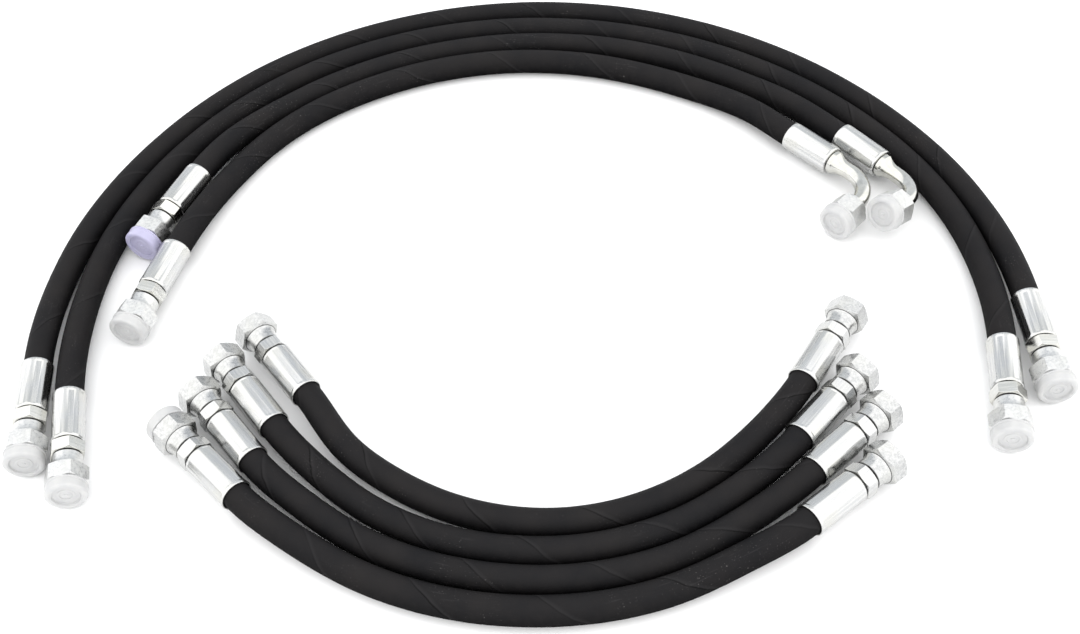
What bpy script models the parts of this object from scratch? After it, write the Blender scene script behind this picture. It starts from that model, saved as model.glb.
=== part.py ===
"""Set of eight hydraulic hose assemblies, laid out on the floor in two nested groups.

Four long hoses lie in an arch and four short ones in a bowl in front of it. Each end has a
crimped ferrule, a stem and a swivel nut, and the two inner long hoses have a swept elbow on
the right. Metres, +Z up, +X to the right, +Y away from the front. The floor is Z = 0.
"""
import math

import bmesh
import bpy
import numpy as np
from mathutils import Matrix, Vector

# Hose: half-inch bore, two wire braids.
HOSE_RADIUS = 0.01125
HOSE_BORE_RADIUS = 0.00635
HOSE_SPACING = 0.046          # distance between the points of a hose's line
TOUCH_GAP = 0.0003            # clearance between pieces that touch

# Ferrule, measured along the fitting from its mouth.
FERRULE_LENGTH = 0.048
FERRULE_RADIUS = 0.0131
FERRULE_BORE_RADIUS = 0.0120
FERRULE_LIP_LENGTH = 0.003
FERRULE_LIP_RADIUS = 0.0093
HOSE_INSERTION = 0.0435       # how far the hose goes into the ferrule

# Stem.
TAIL_RADIUS = 0.0058
TAIL_START = 0.003
STEM_BODY_RADIUS = 0.0086
COLLAR_FLATS = 0.024
COLLAR_CHAMFER_RADIUS = 0.0128
COLLAR_LENGTH = 0.0117
NECK_RADIUS = 0.0072
FLANGE_RADIUS = 0.0098
NOSE_RADIUS = 0.0078
NOSE_RECESS = 0.0035          # the sealing cone stops this far inside the nut

# Swivel nut: width across flats, whole length, length of the hexagon and of the round neck.
STRAIGHT_NUT = (0.030, 0.0270, 0.0150, 0.0062)
ELBOW_NUT = (0.028, 0.0215, 0.0175, 0.0010)
NUT_NECK_RADIUS = 0.0118
NUT_BACK_WALL = 0.0040
NUT_BACK_BORE_RADIUS = 0.0080
NUT_BORE_RADIUS = 0.0110
NUT_SHOULDER_CUT = 0.0016     # the shoulder's cone starts this far inside the flats' middles
NUT_CHAMFER = 0.0014
SWIVEL_GAP = 0.0005

# Push-in dust cap.
CAP_RADIUS = 0.0160
CAP_LENGTH = 0.0100
CAP_EDGE = 0.0018
CAP_RECESS_RADIUS = 0.0105
CAP_RECESS_DEPTH = 0.0022
PLUG_RADIUS = 0.0102
PLUG_LENGTH = 0.0028

# Swept elbow, from the end of the ferrule.
ELBOW_TUBE_RADIUS = 0.0071
ELBOW_COLLAR_RADIUS = 0.0106
ELBOW_COLLAR_LENGTH = 0.0045
ELBOW_CONE_LENGTH = 0.009
ELBOW_CORNER = 0.0475         # ferrule end to the corner of the two centrelines
ELBOW_SWEEP = 86.0            # degrees
ELBOW_BEND_RADIUS = 0.0290
ELBOW_NUT_BACK = 0.0295       # corner to the back of the nut
ELBOW_BEND_STEPS = 7

# Lie of the set.
AXIS_HEIGHT = 0.0176          # fittings lie level, a nut's corner just off the floor
RAMP_LENGTH = 0.130           # length over which a hose comes down to the floor
ARCH_CENTRE = (0.0023, -0.0580)
BOWL_CENTRE = (0.0023, -0.0380)
SIDES = 12

# Each hose: name, centre of its arc, stations (bearing in degrees, radius in metres) from the
# left mouth to the right one, and the headings of its two fittings in degrees.
HOSES = [
    ("long_1", ARCH_CENTRE, [(186.5, 0.4080), (170, 0.4085), (150, 0.4065), (130, 0.4055), (110, 0.4020),
                             (90, 0.3980), (70, 0.3940), (50, 0.3920), (30, 0.3940), (12, 0.3980),
                             (-2.4, 0.3985)], (275, -90)),
    ("long_2", ARCH_CENTRE, [(191.7, 0.3820), (170, 0.3820), (150, 0.3820), (130, 0.3810), (110, 0.3770),
                             (90, 0.3720), (70, 0.3675), (50, 0.3665), (30, 0.3700), (10, 0.3740),
                             (-9.7, 0.3725)], (279, -99)),
    ("long_3", ARCH_CENTRE, [(150.3, 0.3485), (142, 0.3535), (130, 0.3535), (112, 0.3510), (94, 0.3480),
                             (76, 0.3445), (58, 0.3410), (44, 0.3395), (33.6, 0.3380)], (246, -53)),
    ("long_4", ARCH_CENTRE, [(165.7, 0.3205), (150, 0.3230), (134, 0.3285), (116, 0.3275), (98, 0.3240),
                             (80, 0.3175), (62, 0.3110), (48, 0.3080), (39.0, 0.3042)], (253, -49)),
    ("short_1", BOWL_CENTRE, [(209.4, 0.2136), (225, 0.2180), (238, 0.2205), (250, 0.2245), (263, 0.2285),
                              (276, 0.2305), (288, 0.2300), (301, 0.2285), (315, 0.2283),
                              (330.8, 0.2330)], (125, 55.5)),
    ("short_2", BOWL_CENTRE, [(213.0, 0.2489), (225, 0.2475), (238, 0.2495), (250, 0.2520), (263, 0.2535),
                              (276, 0.2545), (288, 0.2540), (301, 0.2530), (319.0, 0.2550)], (125, 47)),
    ("short_3", BOWL_CENTRE, [(217.0, 0.2779), (228, 0.2755), (238, 0.2755), (250, 0.2765), (263, 0.2775),
                              (276, 0.2785), (288, 0.2780), (301, 0.2770), (315.0, 0.2805)], (127, 41)),
    ("short_4", BOWL_CENTRE, [(220.7, 0.3046), (230, 0.3015), (240, 0.3005), (252, 0.3015), (264, 0.3020),
                              (276, 0.3025), (288, 0.3020), (298, 0.3020), (308.0, 0.3062)], (132, 37)),
]
LONG_HOSES = ("long_1", "long_2", "long_3", "long_4")
ELBOW_TILTS = {"long_3_right": 13.0, "long_4_right": 0.0}   # degrees the outlet points up
CAPPED = {f"{hose}_{side}" for hose in LONG_HOSES for side in ("left", "right")} | {"short_4_left"}
# Degrees each nut, and each stem's hexagon, is turned from having a corner on top.
NUT_TURNS = {"long_1_left": -27, "long_1_right": -30, "long_2_left": -25, "long_2_right": 28,
             "long_3_left": 23, "long_3_right": 10, "long_4_left": 23, "long_4_right": 24,
             "short_1_left": 19, "short_1_right": -23, "short_2_left": 9, "short_2_right": -16,
             "short_3_left": 11, "short_3_right": -19, "short_4_left": 8, "short_4_right": -18}
STEM_TURNS = {"long_1_left": -17, "long_1_right": 24, "long_2_left": -20, "long_2_right": -16,
              "long_3_left": 3, "long_4_left": 28, "short_1_left": -28, "short_1_right": -16,
              "short_2_left": -21, "short_2_right": -25, "short_3_left": 13, "short_3_right": -4,
              "short_4_left": 7, "short_4_right": -7}


def clear_scene():
    for obj in list(bpy.data.objects):
        bpy.data.objects.remove(obj, do_unlink=True)


def material(name, colour, roughness, metallic):
    made = bpy.data.materials.new(name)
    made.use_nodes = True
    shader = made.node_tree.nodes["Principled BSDF"]
    shader.inputs["Base Color"].default_value = (*colour, 1.0)
    shader.inputs["Roughness"].default_value = roughness
    shader.inputs["Metallic"].default_value = metallic
    return made


def link(name, data, surface):
    """A named object with one material, in the scene."""
    obj = bpy.data.objects.new(name, data)
    bpy.context.scene.collection.objects.link(obj)
    if surface is not None:
        data.materials.clear()
        data.materials.append(surface)
    return obj


# Sections: a piece is a skin over twelve-sided rings. A round ring has one radius. A hex ring
# has its corners on the even points and its flats' middles on the odd ones, both cut back to
# the ring's radius, which makes the chamfer.

def ring_points(frame, radius, flats=None):
    points = []
    for k in range(SIDES):
        reach = radius
        if flats is not None:
            full = flats / 2 if k % 2 else flats / math.sqrt(3)
            reach = min(radius, full)
        angle = math.tau * k / SIDES
        points.append(frame @ Vector((reach * math.cos(angle), reach * math.sin(angle), 0.0)))
    return points


def skin(name, rings, hollow=False):
    """Mesh over a list of rings of points; hollow joins the last ring to the first."""
    bm = bmesh.new()
    loops = [[bm.verts.new(point) for point in ring] for ring in rings]
    pairs = list(zip(loops[:-1], loops[1:]))
    if hollow:
        pairs.append((loops[-1], loops[0]))
    for near, far in pairs:
        for k in range(SIDES):
            after = (k + 1) % SIDES
            bm.faces.new((near[k], near[after], far[after], far[k]))
    if not hollow:
        bm.faces.new(loops[0])
        bm.faces.new(loops[-1])
    bmesh.ops.recalc_face_normals(bm, faces=bm.faces)
    mesh = bpy.data.meshes.new(name)
    bm.to_mesh(mesh)
    bm.free()
    mesh.shade_smooth()
    mesh.set_sharp_from_angle(angle=math.radians(40))
    return mesh


def along(distance):
    return Matrix.Translation((0.0, 0.0, distance))


def straight_rings(sections, turn=0.0):
    """Rings on the local Z axis from (distance, radius) or (distance, radius, flats) sections."""
    roll = Matrix.Rotation(math.radians(turn), 4, "Z")
    return [ring_points(along(section[0]) @ roll, *section[1:]) for section in sections]


# Distances along a fitting from its ferrule's mouth.
COLLAR_START = FERRULE_LENGTH + TOUCH_GAP
COLLAR_END = COLLAR_START + COLLAR_LENGTH
NUT_START = COLLAR_END + SWIVEL_GAP


def ferrule_mesh():
    lip_start = FERRULE_LENGTH - FERRULE_LIP_LENGTH
    edge = 0.0009
    sections = [
        (0.0, FERRULE_RADIUS),
        (FERRULE_LENGTH - 2 * edge, FERRULE_RADIUS),
        (FERRULE_LENGTH, FERRULE_RADIUS - edge),
        (FERRULE_LENGTH, FERRULE_LIP_RADIUS),
        (lip_start, FERRULE_LIP_RADIUS),
        (lip_start, FERRULE_BORE_RADIUS),
        (0.0, FERRULE_BORE_RADIUS),
    ]
    return skin("ferrule", straight_rings(sections), hollow=True)


def tail_sections():
    """The part of every stem that sits in the hose and in the ferrule's lip."""
    return [
        (TAIL_START, TAIL_RADIUS),
        (HOSE_INSERTION + TOUCH_GAP, TAIL_RADIUS),
        (HOSE_INSERTION + 2 * TOUCH_GAP, STEM_BODY_RADIUS),
    ]


def nose_sections(nut_start, nut_length):
    """Neck, retaining flange and sealing cone inside a nut whose back is at nut_start."""
    flange_start = nut_start + NUT_BACK_WALL + TOUCH_GAP
    return [
        (nut_start - SWIVEL_GAP, NECK_RADIUS),
        (flange_start, NECK_RADIUS),
        (flange_start, FLANGE_RADIUS),
        (flange_start + 0.005, FLANGE_RADIUS),
        (nut_start + nut_length - NOSE_RECESS, NOSE_RADIUS),
    ]


def stem_mesh():
    chamfer = 0.0012
    collar = [
        (COLLAR_START, STEM_BODY_RADIUS),
        (COLLAR_START, COLLAR_CHAMFER_RADIUS, COLLAR_FLATS),
        (COLLAR_START + chamfer, 2 * COLLAR_CHAMFER_RADIUS, COLLAR_FLATS),
        (COLLAR_END - chamfer, 2 * COLLAR_CHAMFER_RADIUS, COLLAR_FLATS),
        (COLLAR_END, COLLAR_CHAMFER_RADIUS, COLLAR_FLATS),
    ]
    sections = tail_sections() + collar + nose_sections(NUT_START, STRAIGHT_NUT[1])
    return skin("stem", straight_rings(sections))


def crimped_fitting_mesh():
    """Ferrule and stem as one piece: the ferrule is crimped on the stem for good."""
    chamfer = 0.0012
    edge = 0.0009
    bottom = HOSE_INSERTION + TOUCH_GAP
    sections = [
        (TAIL_START, TAIL_RADIUS),
        (bottom, TAIL_RADIUS),
        (bottom, FERRULE_BORE_RADIUS),
        (0.0, FERRULE_BORE_RADIUS),
        (0.0, FERRULE_RADIUS),
        (FERRULE_LENGTH - 2 * edge, FERRULE_RADIUS),
        (FERRULE_LENGTH, FERRULE_RADIUS - edge),
        (COLLAR_START, COLLAR_CHAMFER_RADIUS, COLLAR_FLATS),
        (COLLAR_START + chamfer, 2 * COLLAR_CHAMFER_RADIUS, COLLAR_FLATS),
        (COLLAR_END - chamfer, 2 * COLLAR_CHAMFER_RADIUS, COLLAR_FLATS),
        (COLLAR_END, COLLAR_CHAMFER_RADIUS, COLLAR_FLATS),
    ]
    sections += nose_sections(NUT_START, STRAIGHT_NUT[1])
    return skin("crimped_fitting", straight_rings(sections))


def elbow_outlet(tilt):
    """Frame at the elbow's corner, its Z along the outlet, in the ferrule's frame."""
    corner = along(FERRULE_LENGTH + ELBOW_CORNER)
    clocking = Matrix.Rotation(math.radians(-tilt), 4, "Z")
    turn = Matrix.Rotation(math.radians(-ELBOW_SWEEP), 4, "X")
    return corner @ clocking @ turn


def elbow_mesh(name, tilt):
    """Stem with a swept tube; the outlet turns to the fitting's right."""
    collar_end = COLLAR_START + ELBOW_COLLAR_LENGTH
    cone_end = collar_end + ELBOW_CONE_LENGTH
    inlet = [
        (COLLAR_START, STEM_BODY_RADIUS),
        (COLLAR_START, ELBOW_COLLAR_RADIUS),
        (collar_end, ELBOW_COLLAR_RADIUS),
        (cone_end, ELBOW_TUBE_RADIUS),
    ]
    rings = straight_rings(tail_sections() + inlet, -tilt)
    clocking = Matrix.Rotation(math.radians(-tilt), 4, "Z")
    setback = ELBOW_BEND_RADIUS * math.tan(math.radians(ELBOW_SWEEP / 2))
    centre = along(FERRULE_LENGTH + ELBOW_CORNER - setback) @ clocking
    pivot = centre @ Matrix.Translation((0.0, ELBOW_BEND_RADIUS, 0.0))
    for step in range(ELBOW_BEND_STEPS + 1):
        swing = Matrix.Rotation(math.radians(-ELBOW_SWEEP * step / ELBOW_BEND_STEPS), 4, "X")
        frame = pivot @ swing @ Matrix.Translation((0.0, -ELBOW_BEND_RADIUS, 0.0))
        rings.append(ring_points(frame, ELBOW_TUBE_RADIUS))
    outlet = elbow_outlet(tilt)
    nose = nose_sections(ELBOW_NUT_BACK, ELBOW_NUT[1])
    rings += [ring_points(outlet @ along(distance), radius) for distance, radius in nose]
    return skin(name, rings)


def nut_mesh(turn, size):
    """Swivel nut from its back face: round neck, cone, chamfered hexagon, bored through."""
    flats, length, hex_length, neck_length = size
    hex_start = length - hex_length
    sections = [
        (0.0, NUT_NECK_RADIUS),
        (neck_length, NUT_NECK_RADIUS),
        (hex_start, flats / 2 - NUT_SHOULDER_CUT, flats),
        (hex_start + NUT_CHAMFER, flats, flats),
        (length - NUT_CHAMFER, flats, flats),
        (length, flats / 2, flats),
        (length, NUT_BORE_RADIUS),
        (NUT_BACK_WALL, NUT_BORE_RADIUS),
        (NUT_BACK_WALL, NUT_BACK_BORE_RADIUS),
        (0.0, NUT_BACK_BORE_RADIUS),
    ]
    return skin("swivel_nut", straight_rings(sections, turn), hollow=True)


def cap_mesh():
    """Dust cap from the nut's end face: a short plug behind and a dished head in front."""
    sections = [
        (-PLUG_LENGTH, PLUG_RADIUS),
        (TOUCH_GAP, PLUG_RADIUS),
        (TOUCH_GAP, CAP_RADIUS),
        (CAP_LENGTH - CAP_EDGE, CAP_RADIUS),
        (CAP_LENGTH, CAP_RADIUS - CAP_EDGE),
        (CAP_LENGTH, CAP_RECESS_RADIUS),
        (CAP_LENGTH - CAP_RECESS_DEPTH, CAP_RECESS_RADIUS - 0.0008),
    ]
    return skin("dust_cap", straight_rings(sections))


# Hose lines.

def station_point(centre, bearing, radius):
    angle = math.radians(bearing)
    return np.array([centre[0] + radius * math.cos(angle), centre[1] + radius * math.sin(angle)])


def heading_vector(degrees):
    angle = math.radians(degrees)
    return np.array([math.cos(angle), math.sin(angle)])


def smooth_line(points, start_slope, end_slope, count=400):
    """Cubic spline through points with unit slopes given at both ends, densely sampled."""
    steps = np.linalg.norm(np.diff(points, axis=0), axis=1)
    knots = np.concatenate([[0.0], np.cumsum(steps)])
    size = len(points)
    system = np.zeros((size, size))
    right = np.zeros((size, 2))
    system[0, 0] = system[-1, -1] = 1.0
    right[0] = start_slope
    right[-1] = end_slope
    for i in range(1, size - 1):
        before, after = steps[i - 1], steps[i]
        system[i, i - 1] = after
        system[i, i] = 2 * (before + after)
        system[i, i + 1] = before
        right[i] = 3 * (after * (points[i] - points[i - 1]) / before
                        + before * (points[i + 1] - points[i]) / after)
    slopes = np.linalg.solve(system, right)
    line = []
    for place in np.linspace(0.0, knots[-1], count):
        i = min(int(np.searchsorted(knots, place, side="right")) - 1, size - 2)
        span = steps[i]
        t = (place - knots[i]) / span
        line.append((2 * t**3 - 3 * t**2 + 1) * points[i] + (t**3 - 2 * t**2 + t) * span * slopes[i]
                    + (3 * t**2 - 2 * t**3) * points[i + 1] + (t**3 - t**2) * span * slopes[i + 1])
    return np.array(line)


def hose_line(centre, stations, headings):
    """Points of a hose from one buried end to the other, evenly spaced between the mouths."""
    points = np.array([station_point(centre, *station) for station in stations])
    left, right = heading_vector(headings[0]), heading_vector(headings[1])
    dense = smooth_line(points, -left, right)
    run = np.concatenate([[0.0], np.cumsum(np.linalg.norm(np.diff(dense, axis=0), axis=1))])
    count = round(run[-1] / HOSE_SPACING) + 1
    places = np.linspace(0.0, run[-1], count)
    flat = np.stack([np.interp(places, run, dense[:, k]) for k in (0, 1)], axis=1)
    from_end = np.minimum(places, run[-1] - places) / RAMP_LENGTH
    rise = 0.5 + 0.5 * np.cos(math.pi * np.clip(from_end, 0.0, 1.0))
    height = HOSE_RADIUS + (AXIS_HEIGHT - HOSE_RADIUS) * rise
    free = np.column_stack([flat, height])
    first = [*(points[0] + left * HOSE_INSERTION), AXIS_HEIGHT]
    last = [*(points[-1] + right * HOSE_INSERTION), AXIS_HEIGHT]
    return np.vstack([first, free, last])


def hose_guide(name, line):
    """The hose's outer shape: an eight-sided tube along its line."""
    curve = bpy.data.curves.new(name, "CURVE")
    curve.dimensions = "3D"
    curve.twist_mode = "Z_UP"
    curve.bevel_depth = HOSE_RADIUS
    curve.bevel_resolution = 2
    curve.use_fill_caps = True
    spline = curve.splines.new("POLY")
    spline.points.add(len(line) - 1)
    for point, place in zip(spline.points, line):
        point.co = (*place, 1.0)
    return link(name, curve, None)


def end_frame(centre, station, heading):
    """A fitting's frame: origin at the ferrule's mouth, Z outward, X up."""
    x, y = station_point(centre, *station)
    outward = Vector((*heading_vector(heading), 0.0))
    up = Vector((0.0, 0.0, 1.0))
    axes = Matrix((up, outward.cross(up), outward)).transposed().to_4x4()
    return Matrix.Translation((x, y, AXIS_HEIGHT)) @ axes


def bore_cutter(name, frame):
    """Cylinder that opens the hose's end for the stem's tail."""
    overrun = 0.002
    sections = [(TAIL_START - TOUCH_GAP, HOSE_BORE_RADIUS), (HOSE_INSERTION + overrun, HOSE_BORE_RADIUS)]
    cutter = link(name, skin(name, straight_rings(sections)), None)
    cutter.matrix_world = frame
    cutter.hide_render = True
    cutter.display_type = "WIRE"
    return cutter


def make_hose(name, line, frames, surface):
    """The hose, from its guide curve's shape, with a bore at each end."""
    guide = hose_guide(f"{name}_guide", line)
    guide.hide_render = True
    guide.display_type = "WIRE"
    graph = bpy.context.evaluated_depsgraph_get()
    mesh = bpy.data.meshes.new_from_object(guide.evaluated_get(graph))
    bm = bmesh.new()
    bm.from_mesh(mesh)
    bmesh.ops.remove_doubles(bm, verts=bm.verts, dist=0.000001)
    bmesh.ops.recalc_face_normals(bm, faces=bm.faces)
    bm.to_mesh(mesh)
    bm.free()
    mesh.shade_smooth()
    mesh.set_sharp_from_angle(angle=math.radians(60))
    hose = link(f"{name}_hose", mesh, surface)
    for side, frame in frames.items():
        cut = hose.modifiers.new(f"{side}_bore", "BOOLEAN")
        cut.operation = "DIFFERENCE"
        cut.solver = "EXACT"
        cut.object = bore_cutter(f"{name}_{side}_bore", frame)


def place(name, mesh, surface, parent, local):
    obj = link(name, mesh, surface)
    obj.parent = parent
    obj.matrix_local = local
    return obj


def stem_turn(end):
    return Matrix.Rotation(math.radians(STEM_TURNS[end]), 4, "Z")


def make_fitting(end, frame, meshes, steel, nut_steel, plastic):
    """Everything on one end of one hose, parented to an empty at the ferrule's mouth."""
    anchor = link(f"{end}_end", None, None)
    anchor.matrix_world = frame
    nut_back = along(NUT_START)
    nut_size = STRAIGHT_NUT
    if not end.startswith("long"):
        place(f"{end}_fitting", meshes["crimped_fitting"], steel, anchor, stem_turn(end))
    else:
        place(f"{end}_ferrule", meshes["ferrule"], steel, anchor, Matrix())
        if end in ELBOW_TILTS:
            tilt = ELBOW_TILTS[end]
            place(f"{end}_elbow", elbow_mesh(f"{end}_elbow", tilt), steel, anchor, Matrix())
            nut_back = elbow_outlet(tilt) @ along(ELBOW_NUT_BACK)
            nut_size = ELBOW_NUT
        else:
            place(f"{end}_stem", meshes["stem"], steel, anchor, stem_turn(end))
    place(f"{end}_nut", nut_mesh(NUT_TURNS[end], nut_size), nut_steel, anchor, nut_back)
    if end in CAPPED:
        place(f"{end}_cap", meshes["cap"], plastic, anchor, nut_back @ along(nut_size[1]))


def main():
    clear_scene()
    rubber = material("hose_rubber", (0.022, 0.022, 0.024), 0.62, 0.0)
    steel = material("zinc_plated_steel", (0.80, 0.80, 0.78), 0.20, 1.0)
    nut_steel = material("zinc_plated_nut", (0.78, 0.78, 0.77), 0.32, 1.0)
    plastic = material("cap_plastic", (0.80, 0.82, 0.84), 0.40, 0.0)
    meshes = {
        "ferrule": ferrule_mesh(),
        "stem": stem_mesh(),
        "crimped_fitting": crimped_fitting_mesh(),
        "cap": cap_mesh(),
    }
    for name, centre, stations, headings in HOSES:
        frames = {
            "left": end_frame(centre, stations[0], headings[0]),
            "right": end_frame(centre, stations[-1], headings[1]),
        }
        make_hose(name, hose_line(centre, stations, headings), frames, rubber)
        for side, frame in frames.items():
            make_fitting(f"{name}_{side}", frame, meshes, steel, nut_steel, plastic)


main()
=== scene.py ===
"""Set of eight hydraulic hose assemblies on a pale floor, in two nested groups."""
import math

import bmesh
import bpy
import numpy as np
from mathutils import Matrix, Vector


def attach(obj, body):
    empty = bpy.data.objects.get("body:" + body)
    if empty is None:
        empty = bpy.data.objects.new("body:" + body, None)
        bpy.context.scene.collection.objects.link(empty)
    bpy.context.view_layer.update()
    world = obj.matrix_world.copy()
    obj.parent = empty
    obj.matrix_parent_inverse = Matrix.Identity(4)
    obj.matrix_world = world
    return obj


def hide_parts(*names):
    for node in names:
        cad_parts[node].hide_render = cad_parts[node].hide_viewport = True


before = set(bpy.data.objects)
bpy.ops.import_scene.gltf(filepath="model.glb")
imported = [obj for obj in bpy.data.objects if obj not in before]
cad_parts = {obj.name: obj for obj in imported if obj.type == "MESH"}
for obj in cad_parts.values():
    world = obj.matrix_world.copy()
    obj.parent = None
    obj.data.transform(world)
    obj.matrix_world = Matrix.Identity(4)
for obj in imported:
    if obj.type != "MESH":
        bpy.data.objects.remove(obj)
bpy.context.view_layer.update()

# Hose. The cloth wrap leaves a helical step: it rises over the lip's share of a turn, and then
# falls again by the slope's share of its height.
HOSE_RADIUS = 0.01125
HOSE_GIRTH = 0.0707
HOSE_SIDES = 44
HOSE_STEP = 0.0035
HOSE_SHOWN_INSIDE = 0.012     # how far the tube goes on inside each ferrule
WRAP_PITCH = 0.092
WRAP_STEP = 0.00013
WRAP_LIP = 0.06
WRAP_SLOPE = 0.6
WRAP_SHIFT = 0.37             # turns from one hose's wrap to the next one's
WEAVE_FREQUENCY = 5600.0      # radians per metre

# Ferrule, from its mouth.
FERRULE_LENGTH = 0.048
FERRULE_RADIUS = 0.0131
FERRULE_BORE_RADIUS = 0.0120
FERRULE_LIP_RADIUS = 0.0093
LINING_RADIUS = FERRULE_BORE_RADIUS - 0.0004
LINING_START = 0.0008
CRIMP_FLATS = 0.0250
CRIMP_SIDES = 8
SHOULDER_EDGE = 0.0012

# Stem.
TAIL_START = 0.036
TAIL_END = 0.0441
TAIL_FACE_RADIUS = 0.0050
TAIL_RADIUS = 0.0058
BODY_RADIUS = 0.0086
COLLAR_FLATS = 0.0244
COLLAR_LENGTH = 0.0117
NECK_RADIUS = 0.0072
FLANGE_RADIUS = 0.0098
NOSE_RADIUS = 0.0078
NOSE_RECESS = 0.0035          # the sealing cone stops this far inside the nut
FLOW_RADIUS = 0.0052
FLOW_DEPTH = 0.014

# Swivel nuts: width across flats, length, hexagon length, neck length.
STRAIGHT_NUT = (0.030, 0.0270, 0.0150, 0.0062)
ELBOW_NUT = (0.028, 0.0215, 0.0175, 0.0010)
NUT_NECK_RADIUS = 0.0118
NUT_BACK_WALL = 0.0040
NUT_BACK_BORE_RADIUS = 0.0080
THREAD_RADIUS = 0.0110
THREAD_PITCH = 0.0015
THREAD_HEIGHT = 0.0006

# The dark gap between nut and collar: how far the nut's back and the collar's end stand back from it.
NUT_SETBACK = 0.0003
SHORT_COLLAR_SETBACK = 0.0006
LONG_COLLAR_SETBACK = 0.0002

# Cap.
CAP_RADIUS = 0.0160
CAP_LENGTH = 0.0100
PLUG_RADIUS = 0.0102
PLUG_LENGTH = 0.0028
# The grooves in the cap's face, painted darker as shade.
CAP_SHADED_GROOVES = [(0.0106, 0.0110), (0.0044, 0.0047)]   # inner and outer radius of each

# Elbow, from the end of the ferrule.
ELBOW_TUBE_RADIUS = 0.0071
ELBOW_COLLAR_RADIUS = 0.0106
ELBOW_CORNER = 0.0475         # to the corner of the two centrelines
ELBOW_SWEEP = math.radians(86.0)
ELBOW_BEND_RADIUS = 0.0290
ELBOW_BEND_STEPS = 22
ELBOW_NUT_BACK = 0.0295       # from the corner to the back of the nut

# Points round each turned piece, and the widths that hexagon edges are softened by.
FITTING_SIDES = 96
ELBOW_SIDES = 64
CAP_SIDES = 72
STEM_SOFTENING = 0.00018
NUT_SOFTENING = 0.00022

GROOVE = 0.0006               # the shadow line each fitting shows between its ferrule and its collar
GROOVE_RADIUS = 0.0110        # the radius at its bottom on the short hoses
TOUCH_GAP = 0.0003
SWIVEL_GAP = 0.0005
AXIS_HEIGHT = 0.0176          # fittings lie level, a nut's corner just off the floor
RAMP_LENGTH = 0.130           # length over which a hose comes down to the floor
FLOOR_REACH = 6.0
FLOOR_LEVEL = -0.0002
ARCH_CENTRE = (0.0023, -0.0580)
BOWL_CENTRE = (0.0023, -0.0380)

COLLAR_START = FERRULE_LENGTH + TOUCH_GAP
COLLAR_END = COLLAR_START + COLLAR_LENGTH
NUT_START = COLLAR_END + SWIVEL_GAP

# Each hose: name, centre of its arc, stations (bearing in degrees, radius in metres) from the
# left mouth to the right one, and the headings of its two fittings in degrees.
HOSES = [
    ("long_1", ARCH_CENTRE, [(186.5, 0.4080), (170, 0.4085), (150, 0.4065), (130, 0.4055), (110, 0.4020),
                             (90, 0.3980), (70, 0.3940), (50, 0.3920), (30, 0.3940), (12, 0.3980),
                             (-2.4, 0.3985)], (275, -90)),
    ("long_2", ARCH_CENTRE, [(191.7, 0.3820), (170, 0.3820), (150, 0.3820), (130, 0.3810), (110, 0.3770),
                             (90, 0.3720), (70, 0.3675), (50, 0.3665), (30, 0.3700), (10, 0.3740),
                             (-9.7, 0.3725)], (279, -99)),
    ("long_3", ARCH_CENTRE, [(150.3, 0.3485), (142, 0.3535), (130, 0.3535), (112, 0.3510), (94, 0.3480),
                             (76, 0.3445), (58, 0.3410), (44, 0.3395), (33.6, 0.3380)], (246, -53)),
    ("long_4", ARCH_CENTRE, [(165.7, 0.3205), (150, 0.3230), (134, 0.3285), (116, 0.3275), (98, 0.3240),
                             (80, 0.3175), (62, 0.3110), (48, 0.3080), (39.0, 0.3042)], (253, -49)),
    ("short_1", BOWL_CENTRE, [(209.4, 0.2136), (225, 0.2180), (238, 0.2205), (250, 0.2245), (263, 0.2285),
                              (276, 0.2305), (288, 0.2300), (301, 0.2285), (315, 0.2283),
                              (330.8, 0.2330)], (125, 55.5)),
    ("short_2", BOWL_CENTRE, [(213.0, 0.2489), (225, 0.2475), (238, 0.2495), (250, 0.2520), (263, 0.2535),
                              (276, 0.2545), (288, 0.2540), (301, 0.2530), (319.0, 0.2550)], (125, 47)),
    ("short_3", BOWL_CENTRE, [(217.0, 0.2779), (228, 0.2755), (238, 0.2755), (250, 0.2765), (263, 0.2775),
                              (276, 0.2785), (288, 0.2780), (301, 0.2770), (315.0, 0.2805)], (127, 41)),
    ("short_4", BOWL_CENTRE, [(220.7, 0.3046), (230, 0.3015), (240, 0.3005), (252, 0.3015), (264, 0.3020),
                              (276, 0.3025), (288, 0.3020), (298, 0.3020), (308.0, 0.3062)], (132, 37)),
]
# Degrees each elbow's outlet points up.
ELBOW_TILTS = {"long_3_right": 13.0, "long_4_right": 0.0}
# Degrees each nut, and each stem's hexagon, is turned from having a corner on top.
NUT_TURNS = {"long_1_left": -27, "long_1_right": -30, "long_2_left": -25, "long_2_right": 28,
             "long_3_left": 23, "long_3_right": 10, "long_4_left": 23, "long_4_right": 24,
             "short_1_left": 19, "short_1_right": -23, "short_2_left": 9, "short_2_right": -16,
             "short_3_left": 11, "short_3_right": -19, "short_4_left": 8, "short_4_right": -18}
STEM_TURNS = {"long_1_left": -17, "long_1_right": 24, "long_2_left": -20, "long_2_right": -16,
              "long_3_left": 3, "long_4_left": 28, "short_1_left": -28, "short_1_right": -16,
              "short_2_left": -21, "short_2_right": -25, "short_3_left": 13, "short_3_right": -4,
              "short_4_left": 7, "short_4_right": -7}

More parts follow.
